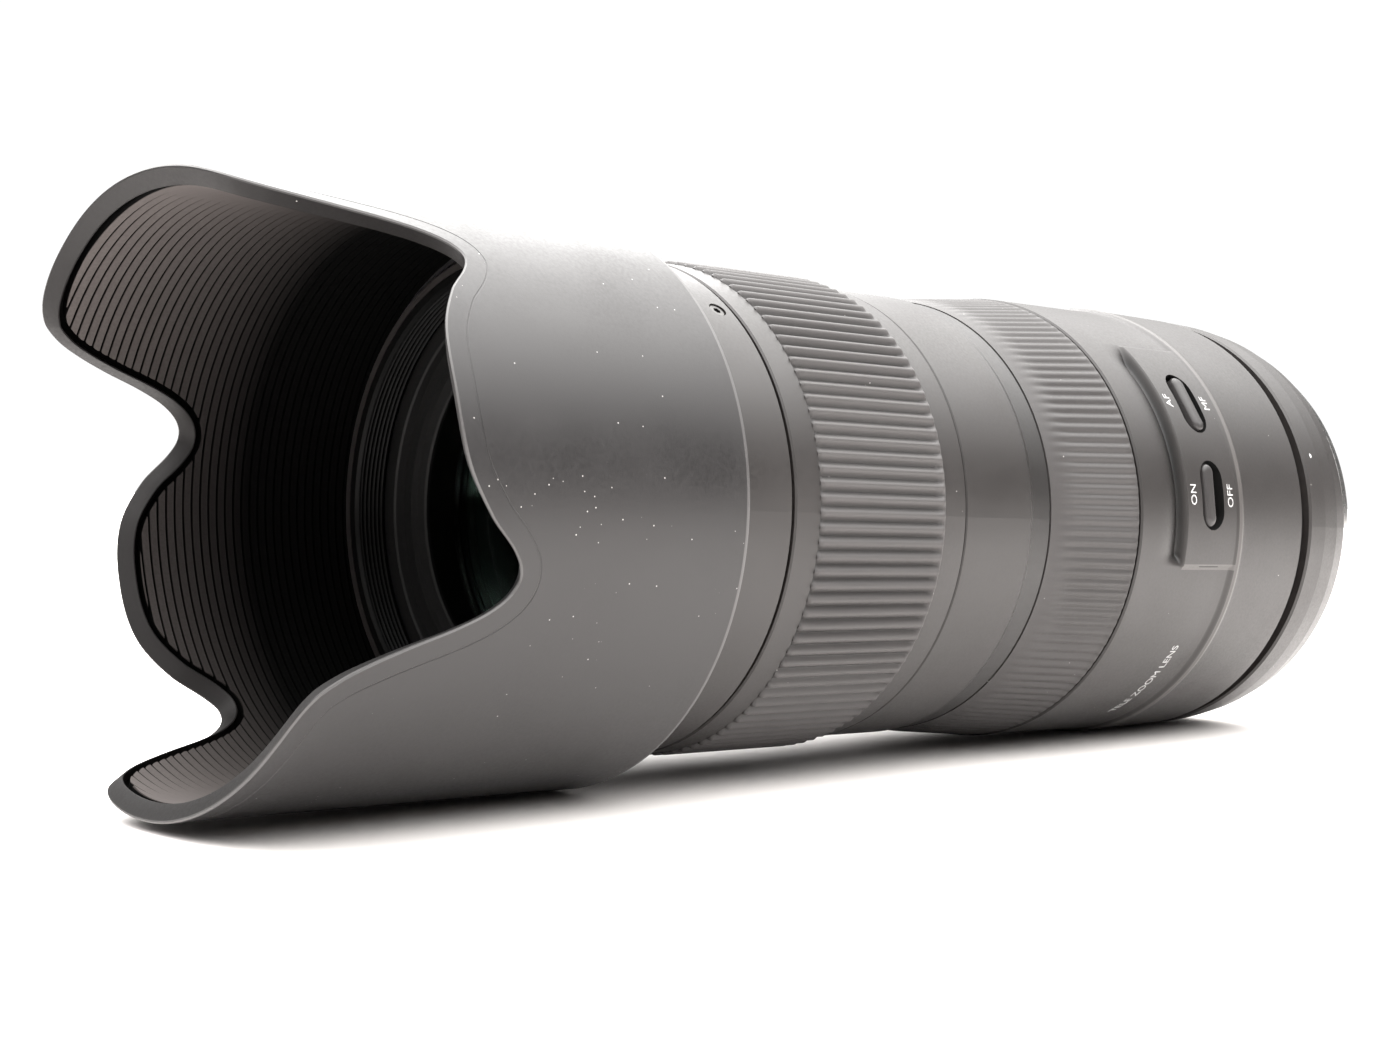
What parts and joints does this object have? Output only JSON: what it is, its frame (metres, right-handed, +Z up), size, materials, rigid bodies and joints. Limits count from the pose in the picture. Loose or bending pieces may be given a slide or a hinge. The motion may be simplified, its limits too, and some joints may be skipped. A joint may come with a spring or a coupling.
{
  "type": "telephoto zoom camera lens",
  "caption": "Telephoto zoom lens for a digital SLR camera, lying on its side: ribbed zoom and focus rings, raised switch panel, bayonet mount and a petal hood locked on the front.",
  "frame": {"origin": "centre of the mounting flange's rear face, on the optical axis", "axes": "-Y is the optical axis towards the front of the lens, +Z is up as the lens lies on its side, and the switch panel faces +X, rolled 18.5 degrees up"},
  "size_m": [0.082, 0.2324, 0.082],
  "materials": {
    "black_barrel": "satin",
    "black_plastic": "matte",
    "hood_plastic": "satin",
    "grip_rubber": "ribbed",
    "silver_trim": "bright turned",
    "mount_metal": "satin plated",
    "gold_contact": "polished",
    "steel_screw": "blackened",
    "inner_aluminium": "black anodised",
    "cam_aluminium": "machined",
    "roller_brass": "turned",
    "optical_glass": "coated",
    "window_plastic": "clear",
    "switch_plastic": "satin",
    "circuit": "solder mask",
    "blade_steel": "matte black",
    "magnet": "nickel plated",
    "drum_paint": "matte"
  },
  "bodies": {
    "barrel": {"mount_bayonet": "mount_metal", "mount_screws": "steel_screw", "rear_light_baffle": "black_plastic", "contact_block": "black_plastic", "contact_pins": "gold_contact", "silver_trim_ring": "silver_trim", "rear_ring": "black_barrel", "circuit_board": "circuit", "rear_element": "optical_glass", "rear_lens_cell": "inner_aluminium", "rear_housing": "black_barrel", "main_barrel": "inner_aluminium", "guide_tube": "inner_aluminium", "middle_barrel": "black_barrel", "distance_window": "window_plastic", "focus_motor_stator": "roller_brass", "stabiliser_base": "black_plastic", "stabiliser_magnets": "magnet", "iris_base_plate": "inner_aluminium", "iris_motor": "magnet", "front_element": "optical_glass", "front_doublet": "optical_glass", "front_cell": "inner_aluminium", "front_bezel": "black_plastic", "filter_ring": "inner_aluminium", "front_barrel": "black_barrel", "front_barrel_screws": "steel_screw"},
    "zoom_group": {"zoom_ring": "black_barrel", "zoom_grip": "grip_rubber", "cam_barrel": "cam_aluminium"},
    "focus_group": {"focus_ring": "black_barrel", "focus_grip": "grip_rubber", "distance_drum": "drum_paint", "focus_cam_tube": "cam_aluminium", "focus_motor_rotor": "cam_aluminium"},
    "variator": {"variator_cell": "inner_aluminium", "variator_element": "optical_glass", "variator_rollers": "roller_brass"},
    "compensator": {"compensator_cell": "inner_aluminium", "compensator_element": "optical_glass", "compensator_rollers": "roller_brass"},
    "focus_lens": {"focus_cell": "inner_aluminium", "focus_element": "optical_glass", "focus_rollers": "roller_brass"},
    "focus_mode_switch": {"focus_mode_switch": "switch_plastic"},
    "stabiliser_switch": {"stabiliser_switch": "switch_plastic"},
    "stabiliser_carriage": {"stabiliser_carriage": "black_plastic"},
    "stabiliser_lens": {"stabiliser_cell": "black_plastic", "stabiliser_element": "optical_glass"},
    "iris_ring": {"iris_drive_ring": "inner_aluminium"},
    "hood": {"lens_hood": "hood_plastic"},
    "iris_blade_1": {"iris_blade_1": "blade_steel"},
    "iris_blade_2": {"iris_blade_2": "blade_steel"},
    "iris_blade_3": {"iris_blade_3": "blade_steel"},
    "iris_blade_4": {"iris_blade_4": "blade_steel"},
    "iris_blade_5": {"iris_blade_5": "blade_steel"},
    "iris_blade_6": {"iris_blade_6": "blade_steel"},
    "iris_blade_7": {"iris_blade_7": "blade_steel"},
    "iris_blade_8": {"iris_blade_8": "blade_steel"},
    "iris_blade_9": {"iris_blade_9": "blade_steel"}
  },
  "joints": [
    {"name": "zoom_turn", "type": "hinge", "parent": "barrel", "child": "zoom_group", "pos_m": [0, -0.13, 0], "axis": [0, -1, 0], "range_deg": [0, 75]},
    {"name": "variator_slide", "type": "slide", "parent": "barrel", "child": "variator", "axis": [0, -1, 0], "range_m": [-0.034, 0]},
    {"name": "compensator_slide", "type": "slide", "parent": "barrel", "child": "compensator", "axis": [0, -1, 0], "range_m": [0, 0.012]},
    {"name": "focus_turn", "type": "hinge", "parent": "barrel", "child": "focus_group", "pos_m": [0, -0.08, 0], "axis": [0, -1, 0], "range_deg": [0, 110]},
    {"name": "focus_lens_slide", "type": "slide", "parent": "barrel", "child": "focus_lens", "axis": [0, -1, 0], "range_m": [0, 0.007]},
    {"name": "focus_mode_slide", "type": "slide", "parent": "barrel", "child": "focus_mode_switch", "axis": [0, -1, 0], "range_m": [0, 0.0012]},
    {"name": "stabiliser_switch_slide", "type": "slide", "parent": "barrel", "child": "stabiliser_switch", "axis": [0, -1, 0], "range_m": [-0.0012, 0]},
    {"name": "stabiliser_side_shift", "type": "slide", "parent": "barrel", "child": "stabiliser_carriage", "axis": [0.9483, 0, 0.3173], "range_m": [-0.0009, 0.0009]},
    {"name": "stabiliser_height_shift", "type": "slide", "parent": "stabiliser_carriage", "child": "stabiliser_lens", "axis": [-0.3173, 0, 0.9483], "range_m": [-0.0009, 0.0009]},
    {"name": "iris_ring_turn", "type": "hinge", "parent": "barrel", "child": "iris_ring", "pos_m": [0, -0.0484, 0], "axis": [0, -1, 0], "range_deg": [0, 26]},
    {"name": "hood_twist", "type": "hinge", "parent": "barrel", "child": "hood", "pos_m": [0, -0.17, 0], "axis": [0, -1, 0], "range_deg": [0, 65]},
    {"name": "iris_blade_1_pivot", "type": "hinge", "parent": "barrel", "child": "iris_blade_1", "pos_m": [0.0205, -0.045, 0], "axis": [0, -1, 0], "range_deg": [0, 34]},
    {"name": "iris_blade_2_pivot", "type": "hinge", "parent": "barrel", "child": "iris_blade_2", "pos_m": [0.0157, -0.045, 0.01318], "axis": [0, -1, 0], "range_deg": [0, 34]},
    {"name": "iris_blade_3_pivot", "type": "hinge", "parent": "barrel", "child": "iris_blade_3", "pos_m": [0.00356, -0.045, 0.02019], "axis": [0, -1, 0], "range_deg": [0, 34]},
    {"name": "iris_blade_4_pivot", "type": "hinge", "parent": "barrel", "child": "iris_blade_4", "pos_m": [-0.01025, -0.045, 0.01775], "axis": [0, -1, 0], "range_deg": [0, 34]},
    {"name": "iris_blade_5_pivot", "type": "hinge", "parent": "barrel", "child": "iris_blade_5", "pos_m": [-0.01926, -0.045, 0.00701], "axis": [0, -1, 0], "range_deg": [0, 34]},
    {"name": "iris_blade_6_pivot", "type": "hinge", "parent": "barrel", "child": "iris_blade_6", "pos_m": [-0.01926, -0.045, -0.00701], "axis": [0, -1, 0], "range_deg": [0, 34]},
    {"name": "iris_blade_7_pivot", "type": "hinge", "parent": "barrel", "child": "iris_blade_7", "pos_m": [-0.01025, -0.045, -0.01775], "axis": [0, -1, 0], "range_deg": [0, 34]},
    {"name": "iris_blade_8_pivot", "type": "hinge", "parent": "barrel", "child": "iris_blade_8", "pos_m": [0.00356, -0.045, -0.02019], "axis": [0, -1, 0], "range_deg": [0, 34]},
    {"name": "iris_blade_9_pivot", "type": "hinge", "parent": "barrel", "child": "iris_blade_9", "pos_m": [0.0157, -0.045, -0.01318], "axis": [0, -1, 0], "range_deg": [0, 34]}
  ],
  "couplings": [
    {"joint": "variator_slide", "follows": "zoom_turn", "m_per_rad": -0.025974},
    {"joint": "compensator_slide", "follows": "zoom_turn", "m_per_rad": 0.0091673},
    {"joint": "focus_lens_slide", "follows": "focus_turn", "m_per_rad": 0.0036461},
    {"joint": "iris_blade_1_pivot", "follows": "iris_ring_turn", "ratio": 1.3077},
    {"joint": "iris_blade_2_pivot", "follows": "iris_ring_turn", "ratio": 1.3077},
    {"joint": "iris_blade_3_pivot", "follows": "iris_ring_turn", "ratio": 1.3077},
    {"joint": "iris_blade_4_pivot", "follows": "iris_ring_turn", "ratio": 1.3077},
    {"joint": "iris_blade_5_pivot", "follows": "iris_ring_turn", "ratio": 1.3077},
    {"joint": "iris_blade_6_pivot", "follows": "iris_ring_turn", "ratio": 1.3077},
    {"joint": "iris_blade_7_pivot", "follows": "iris_ring_turn", "ratio": 1.3077},
    {"joint": "iris_blade_8_pivot", "follows": "iris_ring_turn", "ratio": 1.3077},
    {"joint": "iris_blade_9_pivot", "follows": "iris_ring_turn", "ratio": 1.3077}
  ]
}
